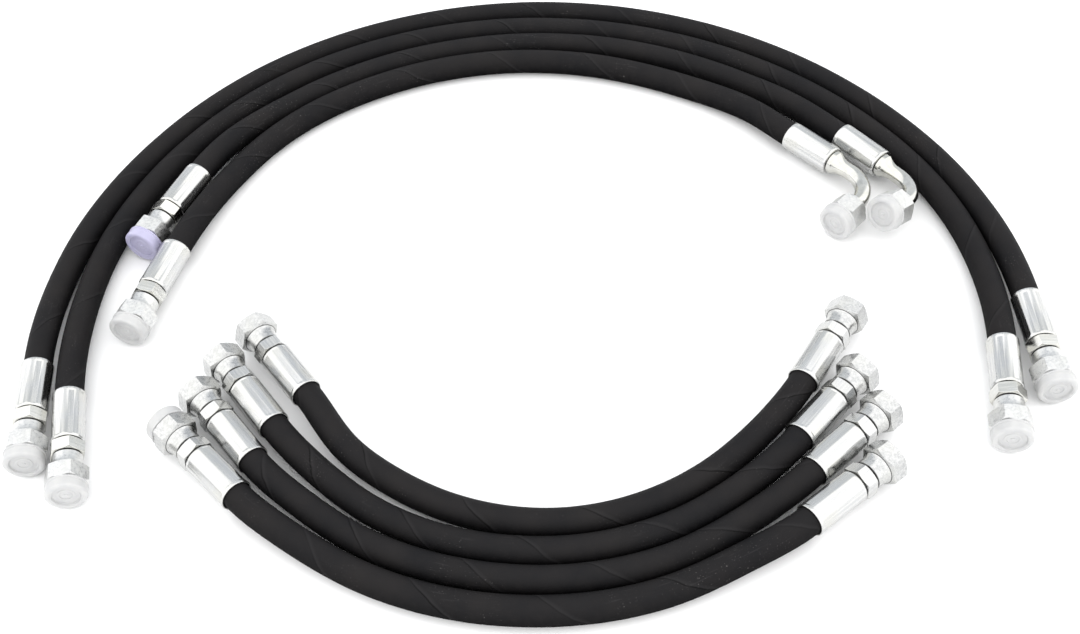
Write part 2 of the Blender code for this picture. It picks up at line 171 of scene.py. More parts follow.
# Zinc: the light, dark and tinted shades; then the span of roughness, the stretch of the fine marks
# and the amount of grain.
FERRULE_SHADES = ((0.60, 0.60, 0.59), (0.485, 0.49, 0.495), (0.55, 0.545, 0.505))
FERRULE_FINISH = ((0.17, 0.33), (1.0, 1.0, 0.04), 0.10)
STEM_SHADES = ((0.65, 0.65, 0.625), (0.55, 0.55, 0.535), (0.62, 0.605, 0.53))
STEM_FINISH = ((0.12, 0.26), (0.08, 0.08, 1.0), 0.15)
ELBOW_SHADES = ((0.58, 0.58, 0.555), (0.47, 0.47, 0.45), (0.55, 0.54, 0.475))
ELBOW_FINISH = ((0.08, 0.18), (0.3, 0.3, 0.3), 0.08)
NUT_SHADES = ((0.575, 0.575, 0.57), (0.41, 0.415, 0.415), (0.53, 0.53, 0.505))
NUT_FINISH = ((0.20, 0.36), (1.0, 1.0, 1.0), 0.38)
LONG_NUT_SHADES = ((0.68, 0.68, 0.67), (0.52, 0.525, 0.525), (0.62, 0.62, 0.59))
LONG_NUT_FINISH = ((0.24, 0.42), (1.0, 1.0, 1.0), 0.22)
ELBOW_NUT_FINISH = ((0.44, 0.60), (1.0, 1.0, 1.0), 0.30)

# Painted shade in gaps and corners: starts and ends along a fitting from its mouth, or along a nut from its
# back.
CREVICE_SHADE_COLOUR = (0.036, 0.036, 0.034)
CREVICE_SHADE_STRENGTH = 0.93
COLLAR_CREVICE = (FERRULE_LENGTH - 0.0002, COLLAR_START + GROOVE)
STEM_CREVICES = [COLLAR_CREVICE, (COLLAR_END - 0.0001, COLLAR_END + 0.0004)]
FITTING_CREVICES = [COLLAR_CREVICE, (COLLAR_END - 0.0006, COLLAR_END + 0.0004)]
NUT_CREVICES = [(-0.0004, 0.0009), (0.0118, 0.0122)]
LONG_NUT_CREVICES = [(-0.0004, 0.0003), (0.0118, 0.0122)]
ELBOW_NUT_CREVICES = [(-0.0004, 0.0005), (0.0038, 0.0042)]

# ---------------------------------------------------------------- camera, floor and light

CAMERA_DISTANCE = 1.19
CAMERA_PITCH = math.radians(49.0)
CAMERA_ROLL = math.radians(-2.4)
CAMERA_LENS = 47.5

# The studio: which way its grey side lies, the cosines of its soft edge, and both brightnesses.
GREY_SIDE = (0.0, 0.993, 0.12)
GREY_EDGE = (0.59, 0.72)
BRIGHT_LIGHT = (2.00, 2.00, 2.00, 1.0)
GREY_LIGHT = (1.03, 1.07, 1.12, 1.0)


def make_camera():
    """In front of the set and above it, looking down at the centre of the arch's circles."""
    data = bpy.data.cameras.new("camera")
    data.sensor_width = 36.0
    data.lens = CAMERA_LENS
    data.clip_start = 0.01
    camera = bpy.data.objects.new("camera", data)
    bpy.context.scene.collection.objects.link(camera)
    back = Vector((0.0, -math.cos(CAMERA_PITCH), math.sin(CAMERA_PITCH)))
    level = Vector((1.0, 0.0, 0.0))
    rise = back.cross(level)
    right = level * math.cos(CAMERA_ROLL) + rise * math.sin(CAMERA_ROLL)
    up = back.cross(right)
    place = Vector((*ARCH_CENTRE, 0.0)) + back * CAMERA_DISTANCE
    axes = Matrix((right, up, back)).transposed().to_4x4()
    camera.matrix_world = Matrix.Translation(place) @ axes
    bpy.context.scene.camera = camera


def make_world():
    """A bright studio with a greyer wall low behind the hoses."""
    world = bpy.data.worlds.new("studio")
    world.use_nodes = True
    tree = world.node_tree
    way = tree.nodes.new("ShaderNodeTexCoord")
    facing = tree.nodes.new("ShaderNodeVectorMath")
    facing.operation = "DOT_PRODUCT"
    facing.inputs[1].default_value = GREY_SIDE
    edge = tree.nodes.new("ShaderNodeMapRange")
    edge.interpolation_type = "SMOOTHSTEP"
    for key, number in (("From Min", GREY_EDGE[0]), ("From Max", GREY_EDGE[1])):
        edge.inputs[key].default_value = number
    blend = tree.nodes.new("ShaderNodeMix")
    blend.data_type = "RGBA"
    sockets = [s for s in blend.inputs if s.type == "RGBA"]
    sockets[0].default_value = BRIGHT_LIGHT
    sockets[1].default_value = GREY_LIGHT
    tree.links.new(way.outputs["Generated"], facing.inputs[0])
    tree.links.new(facing.outputs["Value"], edge.inputs["Value"])
    tree.links.new(edge.outputs["Result"], blend.inputs[0])
    blended = [s for s in blend.outputs if s.type == "RGBA"][0]
    tree.links.new(blended, tree.nodes["Background"].inputs["Color"])
    bpy.context.scene.world = world


# ---------------------------------------------------------------- material helpers


class Paint:
    """A material's node tree, with short calls to add nodes to it."""

    def __init__(self, name):
        self.material = bpy.data.materials.new(name)
        self.material.use_nodes = True
        self.tree = self.material.node_tree
        self.shader = self.tree.nodes["Principled BSDF"]

    def put(self, socket, value):
        if isinstance(value, bpy.types.NodeSocket):
            self.tree.links.new(value, socket)
        else:
            socket.default_value = value

    def set(self, **values):
        for key, value in values.items():
            self.put(self.shader.inputs[key.replace("_", " ")], value)

    def node(self, kind, settings=None, **inputs):
        made = self.tree.nodes.new(kind)
        for key, value in (settings or {}).items():
            setattr(made, key, value)
        for key, value in inputs.items():
            self.put(made.inputs[key.replace("_", " ")], value)
        return made

    def math(self, operation, *values):
        made = self.node("ShaderNodeMath", {"operation": operation})
        for socket, value in zip(made.inputs, values):
            self.put(socket, value)
        return made.outputs[0]

    def place(self, scale=(1.0, 1.0, 1.0)):
        """Object coordinates, stretched."""
        source = self.node("ShaderNodeTexCoord").outputs["Object"]
        return self.node("ShaderNodeMapping", Vector=source, Scale=scale).outputs["Vector"]

    def noise(self, scale, detail=2.0, stretch=(1.0, 1.0, 1.0), rough=0.5):
        made = self.node("ShaderNodeTexNoise", Vector=self.place(stretch), Scale=scale,
                         Detail=detail, Roughness=rough)
        return made.outputs["Fac"]

    def span(self, value, low, high, start=0.3, end=0.7):
        """Value from start to end becomes low to high."""
        made = self.node("ShaderNodeMapRange", Value=value)
        for key, number in (("From Min", start), ("From Max", end), ("To Min", low), ("To Max", high)):
            made.inputs[key].default_value = number
        return made.outputs["Result"]

    def mix(self, factor, first, second):
        made = self.node("ShaderNodeMix", {"data_type": "RGBA"})
        sockets = [s for s in made.inputs if s.type == "RGBA"]
        self.put(made.inputs[0], factor)
        for socket, value in zip(sockets, (first, second)):
            self.put(socket, value if isinstance(value, bpy.types.NodeSocket) else (*value, 1.0))
        return [s for s in made.outputs if s.type == "RGBA"][0]

    def bump(self, height, distance, strength=1.0, normal=None):
        made = self.node("ShaderNodeBump", Height=height, Distance=distance, Strength=strength)
        if normal is not None:
            self.put(made.inputs["Normal"], normal)
        return made.outputs["Normal"]


def hose_rubber():
    """Black cover with the imprint of its cloth wrap: a helical seam, a fine weave, dust and scuffs; painted
    light on top, painted shade in the seam and a painted highlight on its lip.
    """
    paint = Paint("hose_rubber")
    route = paint.node("ShaderNodeUVMap", {"uv_map": "route"}).outputs["UV"]
    parts = paint.node("ShaderNodeSeparateXYZ", Vector=route)
    along, around = parts.outputs["X"], parts.outputs["Y"]
    turns = paint.math("ADD", paint.math("DIVIDE", along, WRAP_PITCH), around)
    wander = paint.span(paint.noise(38.0, 2.0), -0.02, 0.02)
    turn = paint.math("FRACT", paint.math("ADD", turns, wander))
    clear = paint.span(paint.noise(16.0, 2.0), 0.15, 0.9, 0.38, 0.56)
    seam = paint.math("MULTIPLY", paint.span(turn, 1.0, 0.0, 0.006, 0.024), clear)
    lip_rise = paint.span(turn, 0.0, 1.0, 0.010, 0.030)
    lip_fall = paint.span(turn, 1.0, 0.0, 0.030, 0.075)
    lip = paint.math("MULTIPLY", lip_rise, lip_fall)
    threads = []
    for way in ("ADD", "SUBTRACT"):
        slant = paint.math("MULTIPLY", around, HOSE_GIRTH)
        phase = paint.math("MULTIPLY", paint.math(way, along, slant), WEAVE_FREQUENCY)
        threads.append(paint.math("SINE", phase))
    weave = paint.math("MULTIPLY", *threads)
    cloudy = paint.noise(26.0, 4.0)
    dusty = paint.noise(140.0, 5.0, rough=0.65)
    grain = paint.noise(1500.0, 2.0)
    worn = paint.span(paint.noise(17.0, 2.0), 0.0, 1.0, 0.50, 0.64)
    speck = paint.math("MULTIPLY", paint.span(paint.noise(900.0, 1.0), 0.0, 1.0, 0.70, 0.76), worn)
    drawn_out = paint.node("ShaderNodeCombineXYZ", X=along, Y=paint.math("MULTIPLY", around, 0.9))
    streaks = paint.node("ShaderNodeTexNoise", Vector=drawn_out.outputs["Vector"], Scale=36.0, Detail=4.0,
                         Roughness=0.6).outputs["Fac"]
    scuff = paint.math("MULTIPLY", paint.span(streaks, 0.0, 1.0, 0.58, 0.72), worn)
    # painted light: colour follows how far the surface faces up, so the top of the hose is painted lighter,
    # as if lit from above
    upward = paint.node("ShaderNodeSeparateXYZ", Vector=paint.node("ShaderNodeNewGeometry").outputs["Normal"])
    top_light = paint.span(upward.outputs["Z"], 0.0, 1.0, -0.25, 1.0)
    shaded_underside = paint.mix(paint.span(cloudy, 0.0, 1.0), (0.0027, 0.0027, 0.0031), (0.0038, 0.0035, 0.0037))
    lit_top = paint.mix(paint.span(cloudy, 0.0, 1.0), (0.0100, 0.0099, 0.0110), (0.0158, 0.0146, 0.0148))
    base = paint.mix(top_light, shaded_underside, lit_top)
    base = paint.mix(paint.span(dusty, 0.0, 0.35, 0.45, 0.75), base, (0.0170, 0.0156, 0.0156))
    # painted shade: the seam line is painted near black as the shadow in the wrap's step
    base = paint.mix(paint.math("MULTIPLY", seam, 0.85), base, (0.0008, 0.0008, 0.0008))
    # painted highlight: the lip beside the seam is painted lighter as the light on the step's edge
    base = paint.mix(paint.math("MULTIPLY", lip, 0.36), base, (0.026, 0.025, 0.026))
    # scuffs are shown on the upward side only, following the painted top light
    scuffed = paint.math("MULTIPLY", scuff, paint.span(top_light, 0.0, 0.40, 0.3, 0.9))
    base = paint.mix(scuffed, base, (0.050, 0.048, 0.050))
    base = paint.mix(paint.math("MULTIPLY", speck, 0.45), base, (0.18, 0.17, 0.165))
    rough = paint.span(paint.math("ADD", dusty, paint.math("MULTIPLY", grain, 0.4)), 0.55, 0.72, 0.4, 0.95)
    height = paint.math("ADD", paint.math("MULTIPLY", weave, 0.35), paint.math("MULTIPLY", grain, 0.9))
    height = paint.math("SUBTRACT", height, paint.math("MULTIPLY", seam, 2.5))
    normal = paint.bump(height, 0.00006, 0.8)
    normal = paint.bump(dusty, 0.0004, 0.5, normal)
    paint.set(Base_Color=base, Roughness=rough, Normal=normal)
    # painted sheen: the specular level rises towards the upward side
    paint.set(Specular_IOR_Level=paint.span(top_light, 0.011, 0.070, 0.0, 1.0))
    return paint.material


def zinc(name, light, dark, tint, rough, streak, grain, crevices=()):
    """Zinc plating on steel. streak stretches the fine marks along or around the piece's axis.

    crevices are the (start, end) distances along the axis that are painted dark as shade in gaps and corners.
    """
    paint = Paint(name)
    marks = paint.noise(420.0, 3.0, streak, 0.6)
    broad = paint.noise(55.0, 3.0)
    fine = paint.noise(1300.0, 3.0, rough=0.6)
    shade = paint.mix(paint.span(marks, 0.0, 1.0, 0.35, 0.65), dark, light)
    shade = paint.mix(paint.span(broad, 0.0, 0.55, 0.42, 0.66), shade, tint)
    blotch = paint.span(fine, 0.0, grain, 0.50, 0.72)
    shade = paint.mix(blotch, shade, tuple(part * 0.62 for part in dark))
    if crevices:
        source = paint.node("ShaderNodeTexCoord").outputs["Object"]
        along = paint.node("ShaderNodeSeparateXYZ", Vector=source).outputs["Z"]
    # painted shade: each crevice band is darkened towards the crevice colour as the shadow in a gap or corner
    for start, end in crevices:
        middle, half = (start + end) / 2, (end - start) / 2
        away = paint.math("ABSOLUTE", paint.math("SUBTRACT", along, middle))
        crevice_shade = paint.span(away, CREVICE_SHADE_STRENGTH, 0.0, half * 0.7, half * 1.3)
        shade = paint.mix(crevice_shade, shade, CREVICE_SHADE_COLOUR)
    spread = paint.span(paint.math("ADD", marks, fine), rough[0], rough[1], 0.75, 1.25)
    normal = paint.bump(marks, 0.00003, 0.5)
    normal = paint.bump(fine, 0.00004, 0.35 + grain, normal)
    paint.set(Base_Color=shade, Roughness=spread, Normal=normal)
    paint.set(Metallic=1.0)
    return paint.material


def cap_plastic(name, light, dark):
    """Milky moulded plastic with faint turned rings, flow marks, a little dirt and painted shade in the
    face's grooves.
    """
    paint = Paint(name)
    source = paint.node("ShaderNodeTexCoord").outputs["Object"]
    parts = paint.node("ShaderNodeSeparateXYZ", Vector=source)
    reach = paint.math("SQRT", paint.math("ADD", paint.math("POWER", parts.outputs["X"], 2.0),
                                          paint.math("POWER", parts.outputs["Y"], 2.0)))
    rings = paint.math("SINE", paint.math("MULTIPLY", reach, 5200.0))
    clouds = paint.noise(120.0, 3.0)
    scuffs = paint.noise(700.0, 4.0, (1.0, 1.0, 0.3), 0.65)
    shade = paint.mix(paint.span(clouds, 0.0, 1.0, 0.35, 0.65), dark, light)
    shade = paint.mix(paint.span(rings, 0.0, 0.16, -1.0, 1.0), shade, tuple(part * 0.80 for part in dark))
    # painted shade: the face's grooves are painted darker, standing in for the shadow inside them
    for start, end in CAP_SHADED_GROOVES:
        away = paint.math("ABSOLUTE", paint.math("SUBTRACT", reach, (start + end) / 2))
        groove = paint.span(away, 0.32, 0.0, (end - start) / 2, (end - start) / 2 + 0.0005)
        shade = paint.mix(groove, shade, tuple(part * 0.74 for part in dark))
    shade = paint.mix(paint.span(scuffs, 0.0, 0.22, 0.58, 0.74), shade, (0.37, 0.37, 0.365))
    height = paint.math("ADD", paint.math("MULTIPLY", rings, 0.3), scuffs)
    paint.set(Base_Color=shade, Normal=paint.bump(height, 0.00005, 0.6))
    paint.set(Roughness=paint.span(scuffs, 0.28, 0.46))
    paint.set(Subsurface_Weight=0.35, Subsurface_Scale=0.004, Transmission_Weight=0.10, IOR=1.49)
    paint.shader.inputs["Subsurface Radius"].default_value = (1.0, 1.0, 1.0)
    return paint.material


def floor_paper():
    paint = Paint("floor_paper")
    clouds = paint.span(paint.noise(6.0, 2.0), 0.0, 1.0)
    shade = paint.mix(clouds, (0.895, 0.897, 0.90), (0.905, 0.905, 0.905))
    paint.set(Base_Color=shade)
    paint.set(Roughness=0.9, Specular_IOR_Level=0.1)
    return paint.material


# ---------------------------------------------------------------- mesh helpers


def link(name, mesh, surface):
    obj = bpy.data.objects.new(name, mesh)
    bpy.context.scene.collection.objects.link(obj)
    mesh.materials.clear()
    mesh.materials.append(surface)
    return obj


def skin(name, rings, hollow, sharp=24.0):
    """Mesh over rings of points; hollow joins the last ring to the first, else both ends are closed."""
    bm = bmesh.new()
    loops = [[bm.verts.new(point) for point in ring] for ring in rings]
    pairs = list(zip(loops[:-1], loops[1:]))
    if hollow:
        pairs.append((loops[-1], loops[0]))
    size = len(rings[0])
    for near, far in pairs:
        for k in range(size):
            after = (k + 1) % size
            bm.faces.new((near[k], near[after], far[after], far[k]))
    if not hollow:
        bm.faces.new(loops[0])
        bm.faces.new(loops[-1])
    bmesh.ops.recalc_face_normals(bm, faces=bm.faces)
    mesh = bpy.data.meshes.new(name)
    bm.to_mesh(mesh)
    bm.free()
    mesh.shade_smooth()
    mesh.set_sharp_from_angle(angle=math.radians(sharp))
    return mesh


def turned_rings(sections, count, turn=0.0, place=None):
    """Rings about Z. A section is (height, radius); either may be a function of the angle."""
    rings = []
    for height, radius in sections:
        ring = []
        for k in range(count):
            angle = math.tau * k / count
            z = height(angle) if callable(height) else height
            r = radius(angle) if callable(radius) else radius
            point = Vector((r * math.cos(angle + turn), r * math.sin(angle + turn), z))
            ring.append(place @ point if place is not None else point)
        rings.append(ring)
    return rings


def polygon(flats, sides, limit=None):
    """Distance of a regular polygon's edge from its centre, with corners cut at limit."""
    step = math.tau / sides

    def reach(angle):
        full = flats / 2 / math.cos((angle % step) - step / 2)
        return min(full, limit) if limit else full
    return reach


def chamfered(face, start, flats, sides, slope, rising):
    """Sections of a polygon's chamfer: the circle on the face, then the arcs where it meets the flats."""
    reach = polygon(flats, sides)

    def height(angle):
        drop = (reach(angle) - start) * slope
        return face + drop if rising else face - drop
    return [(face, start), (height, reach)]


def rounded(face, radius, edge, steps=4):
    """A rounded outer edge as sections, from the side on to the face."""
    made = []
    for k in range(steps + 1):
        angle = math.pi / 2 * k / steps
        made.append((face - edge + edge * math.sin(angle), radius - edge + edge * math.cos(angle)))
    return made


def soften(obj, width, segments=2, angle=24.0):
    """Narrow bevels on the piece's sharp edges."""
    bevel = obj.modifiers.new("edges", "BEVEL")
    bevel.width = width
    bevel.segments = segments
    bevel.limit_method = "ANGLE"
    bevel.angle_limit = math.radians(angle)
    bevel.use_clamp_overlap = True
    bevel.harden_normals = False


# ---------------------------------------------------------------- fittings


def ferrule_sections():
    crimp = polygon(CRIMP_FLATS, CRIMP_SIDES, FERRULE_RADIUS)
    slight = polygon(CRIMP_FLATS + 0.0008, CRIMP_SIDES, FERRULE_RADIUS)
    edge = 0.0007
    mouth = [(0.0, FERRULE_BORE_RADIUS + 0.0002)]
    mouth += [(edge - edge * math.cos(a), FERRULE_RADIUS - edge + edge * math.sin(a))
              for a in (0.5, 1.0, math.pi / 2)]
    body = [(0.0020, FERRULE_RADIUS), (0.0028, slight), (0.0036, crimp), (0.0452, crimp),
            (0.0460, slight), (0.0466, FERRULE_RADIUS - 0.0001)]
    return mouth + body


def ferrule_mesh():
    shoulder = rounded(FERRULE_LENGTH, FERRULE_RADIUS - 0.0002, SHOULDER_EDGE)
    inside = [(FERRULE_LENGTH, FERRULE_LIP_RADIUS), (0.045, FERRULE_LIP_RADIUS), (0.045, LINING_RADIUS),
              (LINING_START, LINING_RADIUS)]
    return skin("ferrule", turned_rings(ferrule_sections() + shoulder + inside, FITTING_SIDES), True)


def collar_sections(start, end):
    slope = 0.45
    circle = COLLAR_FLATS / 2 - 0.0002
    first = chamfered(start, circle, COLLAR_FLATS, 6, slope, True)
    last = chamfered(end, circle, COLLAR_FLATS, 6, slope, False)[::-1]
    return first + last


def tail_sections():
    """The tail's end inside the hose, then the body up to the collar."""
    return [(TAIL_START, TAIL_FACE_RADIUS), (TAIL_START, TAIL_RADIUS), (TAIL_END, TAIL_RADIUS),
            (TAIL_END, BODY_RADIUS), (COLLAR_START, BODY_RADIUS)]


def nose_sections(nut_start, length):
    """Neck, retaining flange and sealing cone, then the flow bore as a blind hole."""
    flange = nut_start + NUT_BACK_WALL + TOUCH_GAP
    end = nut_start + length - NOSE_RECESS
    return [
        (nut_start - SWIVEL_GAP, NECK_RADIUS), (flange, NECK_RADIUS), (flange, FLANGE_RADIUS - 0.0003),
        (flange + 0.0003, FLANGE_RADIUS), (flange + 0.0045, FLANGE_RADIUS),
        (flange + 0.005, FLANGE_RADIUS - 0.0004), (end - 0.0006, NOSE_RADIUS + 0.0003),
        (end, NOSE_RADIUS - 0.0004), (end, FLOW_RADIUS + 0.0009), (end - 0.0009, FLOW_RADIUS),
        (end - FLOW_DEPTH, FLOW_RADIUS),
    ]


def stem_mesh(fused):
    """Stem with its hexagonal collar; fused adds the ferrule, as on the short hoses."""
    collar = COLLAR_START + GROOVE
    if fused:
        face = FERRULE_LENGTH - 0.0004
        shoulder = rounded(face, FERRULE_RADIUS - 0.0002, SHOULDER_EDGE)
        start = [(0.040, TAIL_RADIUS), (0.043, TAIL_RADIUS), (0.043, LINING_RADIUS),
                 (LINING_START, LINING_RADIUS)]
        groove = [(face, GROOVE_RADIUS), (collar - 0.0001, GROOVE_RADIUS)]
        sections = start + ferrule_sections() + shoulder + groove
        setback = SHORT_COLLAR_SETBACK
    else:
        sections = tail_sections() + [(collar, BODY_RADIUS)]
        setback = LONG_COLLAR_SETBACK
    sections += collar_sections(collar, COLLAR_END - setback)
    sections += nose_sections(NUT_START, STRAIGHT_NUT[1])
    return skin("stem", turned_rings(sections, FITTING_SIDES), False)


def nut_mesh(size, turn):
    """Swivel nut from its back: round neck, flared cone, hexagon, then the socket with its thread."""
    flats, length, hex_length, neck_length = size
    hex_start = length - hex_length
    back_edge = 0.0007
    shoulder = flats / 2 - 0.0016
    sections = [(NUT_SETBACK, NUT_BACK_BORE_RADIUS), (NUT_SETBACK, NUT_NECK_RADIUS - back_edge),
                (NUT_SETBACK + back_edge, NUT_NECK_RADIUS), (neck_length, NUT_NECK_RADIUS)]
    flare = [(0.30, 0.10), (0.55, 0.28), (0.78, 0.56), (0.92, 0.82)]
    for forward, outward in flare:
        sections.append((neck_length + (hex_start - neck_length) * forward,
                         NUT_NECK_RADIUS + (shoulder - NUT_NECK_RADIUS) * outward))
    sections += chamfered(hex_start, shoulder, flats, 6, 0.50, True)
    sections += chamfered(length, flats / 2 - 0.0003, flats, 6, 0.55, False)[::-1]
    sections += [(length, THREAD_RADIUS + 0.0012), (length - 0.0012, THREAD_RADIUS)]
    bottom = NUT_BACK_WALL + 0.0055
    place = length - 0.0020
    while place - THREAD_PITCH > bottom:
        sections += [(place, THREAD_RADIUS),
                     (place - THREAD_PITCH * 0.35, THREAD_RADIUS - THREAD_HEIGHT),
                     (place - THREAD_PITCH * 0.55, THREAD_RADIUS - THREAD_HEIGHT),
                     (place - THREAD_PITCH * 0.9, THREAD_RADIUS)]
        place -= THREAD_PITCH
    sections += [(bottom, THREAD_RADIUS), (NUT_BACK_WALL, THREAD_RADIUS),
                 (NUT_BACK_WALL, NUT_BACK_BORE_RADIUS)]
    return skin("nut", turned_rings(sections, FITTING_SIDES, math.radians(turn)), True)


def cap_mesh():
    """Dust cap: plug, flange lip, rounded head and a dished face with a moulding point."""
    face = CAP_LENGTH
    sections = [
        (-PLUG_LENGTH, PLUG_RADIUS - 0.0008), (-PLUG_LENGTH + 0.0006, PLUG_RADIUS), (TOUCH_GAP, PLUG_RADIUS),
        (TOUCH_GAP, CAP_RADIUS - 0.0003), (TOUCH_GAP + 0.0003, CAP_RADIUS + 0.0002),
        (0.0016, CAP_RADIUS + 0.0002), (0.0022, CAP_RADIUS - 0.0004), (0.0028, CAP_RADIUS - 0.0004),
    ]
    sections += rounded(face, CAP_RADIUS - 0.0002, 0.0023, 6)
    sections += [
        (face, 0.0122), (face - 0.0004, 0.0117), (face - 0.0004, 0.0110), (face - 0.0016, 0.0104),
        (face - 0.0019, 0.0100), (face - 0.0019, 0.0070), (face - 0.0016, 0.0067), (face - 0.0016, 0.0048),
        (face - 0.0020, 0.0045), (face - 0.0020, 0.0016), (face - 0.0013, 0.0011), (face - 0.0012, 0.0004),
    ]
    return skin("cap", turned_rings(sections, CAP_SIDES), False)


def outlet_frame(tilt):
    """The corner of an elbow's centrelines, with Z along its outlet."""
    corner = Matrix.Translation((0.0, 0.0, FERRULE_LENGTH + ELBOW_CORNER))
    clocking = Matrix.Rotation(math.radians(-tilt), 4, "Z")
    return corner @ clocking @ Matrix.Rotation(-ELBOW_SWEEP, 4, "X")


def elbow_mesh(tilt):
    """Stem with a swept tube: a round collar, a cone, the bend and the nose in the nut."""
    turn = math.radians(-tilt)
    collar = COLLAR_START
    edge = 0.0005
    inlet = tail_sections()
    inlet += [(collar, ELBOW_COLLAR_RADIUS - edge), (collar + edge, ELBOW_COLLAR_RADIUS),
              (collar + 0.0040, ELBOW_COLLAR_RADIUS), (collar + 0.0048, ELBOW_COLLAR_RADIUS - edge),
              (collar + 0.0066, 0.0090), (collar + 0.0090, 0.0080), (collar + 0.0115, 0.0074),
              (collar + 0.0140, ELBOW_TUBE_RADIUS)]
    rings = turned_rings(inlet, ELBOW_SIDES, turn)
    clocking = Matrix.Rotation(turn, 4, "Z")
    bend_reach = ELBOW_BEND_RADIUS * math.tan(ELBOW_SWEEP / 2)
    start = Matrix.Translation((0.0, 0.0, FERRULE_LENGTH + ELBOW_CORNER - bend_reach)) @ clocking
    pivot = start @ Matrix.Translation((0.0, ELBOW_BEND_RADIUS, 0.0))
    for step in range(ELBOW_BEND_STEPS + 1):
        swing = Matrix.Rotation(-ELBOW_SWEEP * step / ELBOW_BEND_STEPS, 4, "X")
        place = pivot @ swing @ Matrix.Translation((0.0, -ELBOW_BEND_RADIUS, 0.0))
        rings += turned_rings([(0.0, ELBOW_TUBE_RADIUS)], ELBOW_SIDES, 0.0, place)
    nose = nose_sections(ELBOW_NUT_BACK, ELBOW_NUT[1])
    nose[0] = (nose[0][0], ELBOW_TUBE_RADIUS)
    rings += turned_rings(nose, ELBOW_SIDES, 0.0, outlet_frame(tilt))
    return skin("elbow", rings, False)


# ---------------------------------------------------------------- hose routes


def station_point(centre, bearing, radius):
    angle = math.radians(bearing)
    return np.array([centre[0] + radius * math.cos(angle), centre[1] + radius * math.sin(angle)])


def heading_vector(degrees):
    angle = math.radians(degrees)
    return np.array([math.cos(angle), math.sin(angle)])


def smooth_line(points, start_slope, end_slope, count=900):
    """Cubic spline through points with unit slopes given at both ends, densely sampled."""
    steps = np.linalg.norm(np.diff(points, axis=0), axis=1)
    knots = np.concatenate([[0.0], np.cumsum(steps)])
    size = len(points)
    system = np.zeros((size, size))
    right = np.zeros((size, 2))
    system[0, 0] = system[-1, -1] = 1.0
    right[0] = start_slope
    right[-1] = end_slope
    for i in range(1, size - 1):
        before, after = steps[i - 1], steps[i]
        system[i, i - 1] = after
        system[i, i] = 2 * (before + after)
        system[i, i + 1] = before
        right[i] = 3 * (after * (points[i] - points[i - 1]) / before
                        + before * (points[i + 1] - points[i]) / after)
    slopes = np.linalg.solve(system, right)
    line = []
    for place in np.linspace(0.0, knots[-1], count):
        i = min(int(np.searchsorted(knots, place, side="right")) - 1, size - 2)
        span = steps[i]
        t = (place - knots[i]) / span
        line.append((2 * t**3 - 3 * t**2 + 1) * points[i] + (t**3 - 2 * t**2 + t) * span * slopes[i]
                    + (3 * t**2 - 2 * t**3) * points[i + 1] + (t**3 - t**2) * span * slopes[i + 1])
    return np.array(line)


def hose_route(centre, stations, headings):
    """Evenly spaced points of a hose's centreline, from inside one ferrule to inside the other."""
    points = np.array([station_point(centre, *station) for station in stations])
    left, right = heading_vector(headings[0]), heading_vector(headings[1])
    dense = smooth_line(points, -left, right)
    inside = np.linspace(1.0, 0.0, 8)[:-1, None] * HOSE_SHOWN_INSIDE
    dense = np.vstack([points[0] + left * inside, dense, points[-1] + right * inside[::-1]])
    run = np.concatenate([[0.0], np.cumsum(np.linalg.norm(np.diff(dense, axis=0), axis=1))])
    count = round(run[-1] / HOSE_STEP) + 1
    places = np.linspace(0.0, run[-1], count)
    flat = np.stack([np.interp(places, run, dense[:, k]) for k in (0, 1)], axis=1)
    from_mouth = np.minimum(places, run[-1] - places) - HOSE_SHOWN_INSIDE
    rise = 0.5 + 0.5 * np.cos(math.pi * np.clip(from_mouth / RAMP_LENGTH, 0.0, 1.0))
    height = HOSE_RADIUS + (AXIS_HEIGHT - HOSE_RADIUS) * rise
    return np.column_stack([flat, height]), places


def hose_mesh(name, route, places, seed):
    """Tube along the route with the wrap's shallow helical step, and its running length as UV."""
    tangent = np.gradient(route, axis=0)
    tangent /= np.linalg.norm(tangent, axis=1)[:, None]
    side = np.cross(tangent, [0.0, 0.0, 1.0])
    side /= np.linalg.norm(side, axis=1)[:, None]
    top = np.cross(side, tangent)
    angles = math.tau * np.arange(HOSE_SIDES) / HOSE_SIDES
    turn = (places[:, None] / WRAP_PITCH + angles[None, :] / math.tau + seed) % 1.0
    lip = 1.0 - np.clip(turn / WRAP_LIP, 0.0, 1.0)
    slope = (turn - WRAP_LIP) / (1.0 - WRAP_LIP) * WRAP_SLOPE
    reach = HOSE_RADIUS - WRAP_STEP * np.where(turn < WRAP_LIP, lip, slope)
    across = (-top[:, None, :] * np.cos(angles)[None, :, None]
              + side[:, None, :] * np.sin(angles)[None, :, None])
    shape = route[:, None, :] + across * reach[:, :, None]
    mesh = skin(name, [[Vector(point) for point in ring] for ring in shape], False, 50.0)
    uv = mesh.uv_layers.new(name="route")
    count = HOSE_SIDES * len(route)
    for face in mesh.polygons:
        columns = [v % HOSE_SIDES for v in face.vertices]
        wraps = 0 in columns and HOSE_SIDES - 1 in columns
        for loop, vertex in zip(face.loop_indices, face.vertices):
            if vertex >= count:
                continue
            column = vertex % HOSE_SIDES
            around = 1.0 if wraps and column == 0 and len(columns) == 4 else column / HOSE_SIDES
            uv.data[loop].uv = (places[vertex // HOSE_SIDES], around + seed)
    return mesh


def end_frame(centre, station, heading):
    """A ferrule's mouth, with Z out along the fitting and X up."""
    x, y = station_point(centre, *station)
    outward = Vector((*heading_vector(heading), 0.0))
    up = Vector((0.0, 0.0, 1.0))
    axes = Matrix((up, outward.cross(up), outward)).transposed().to_4x4()
    return Matrix.Translation((x, y, AXIS_HEIGHT)) @ axes


# ---------------------------------------------------------------- assembly


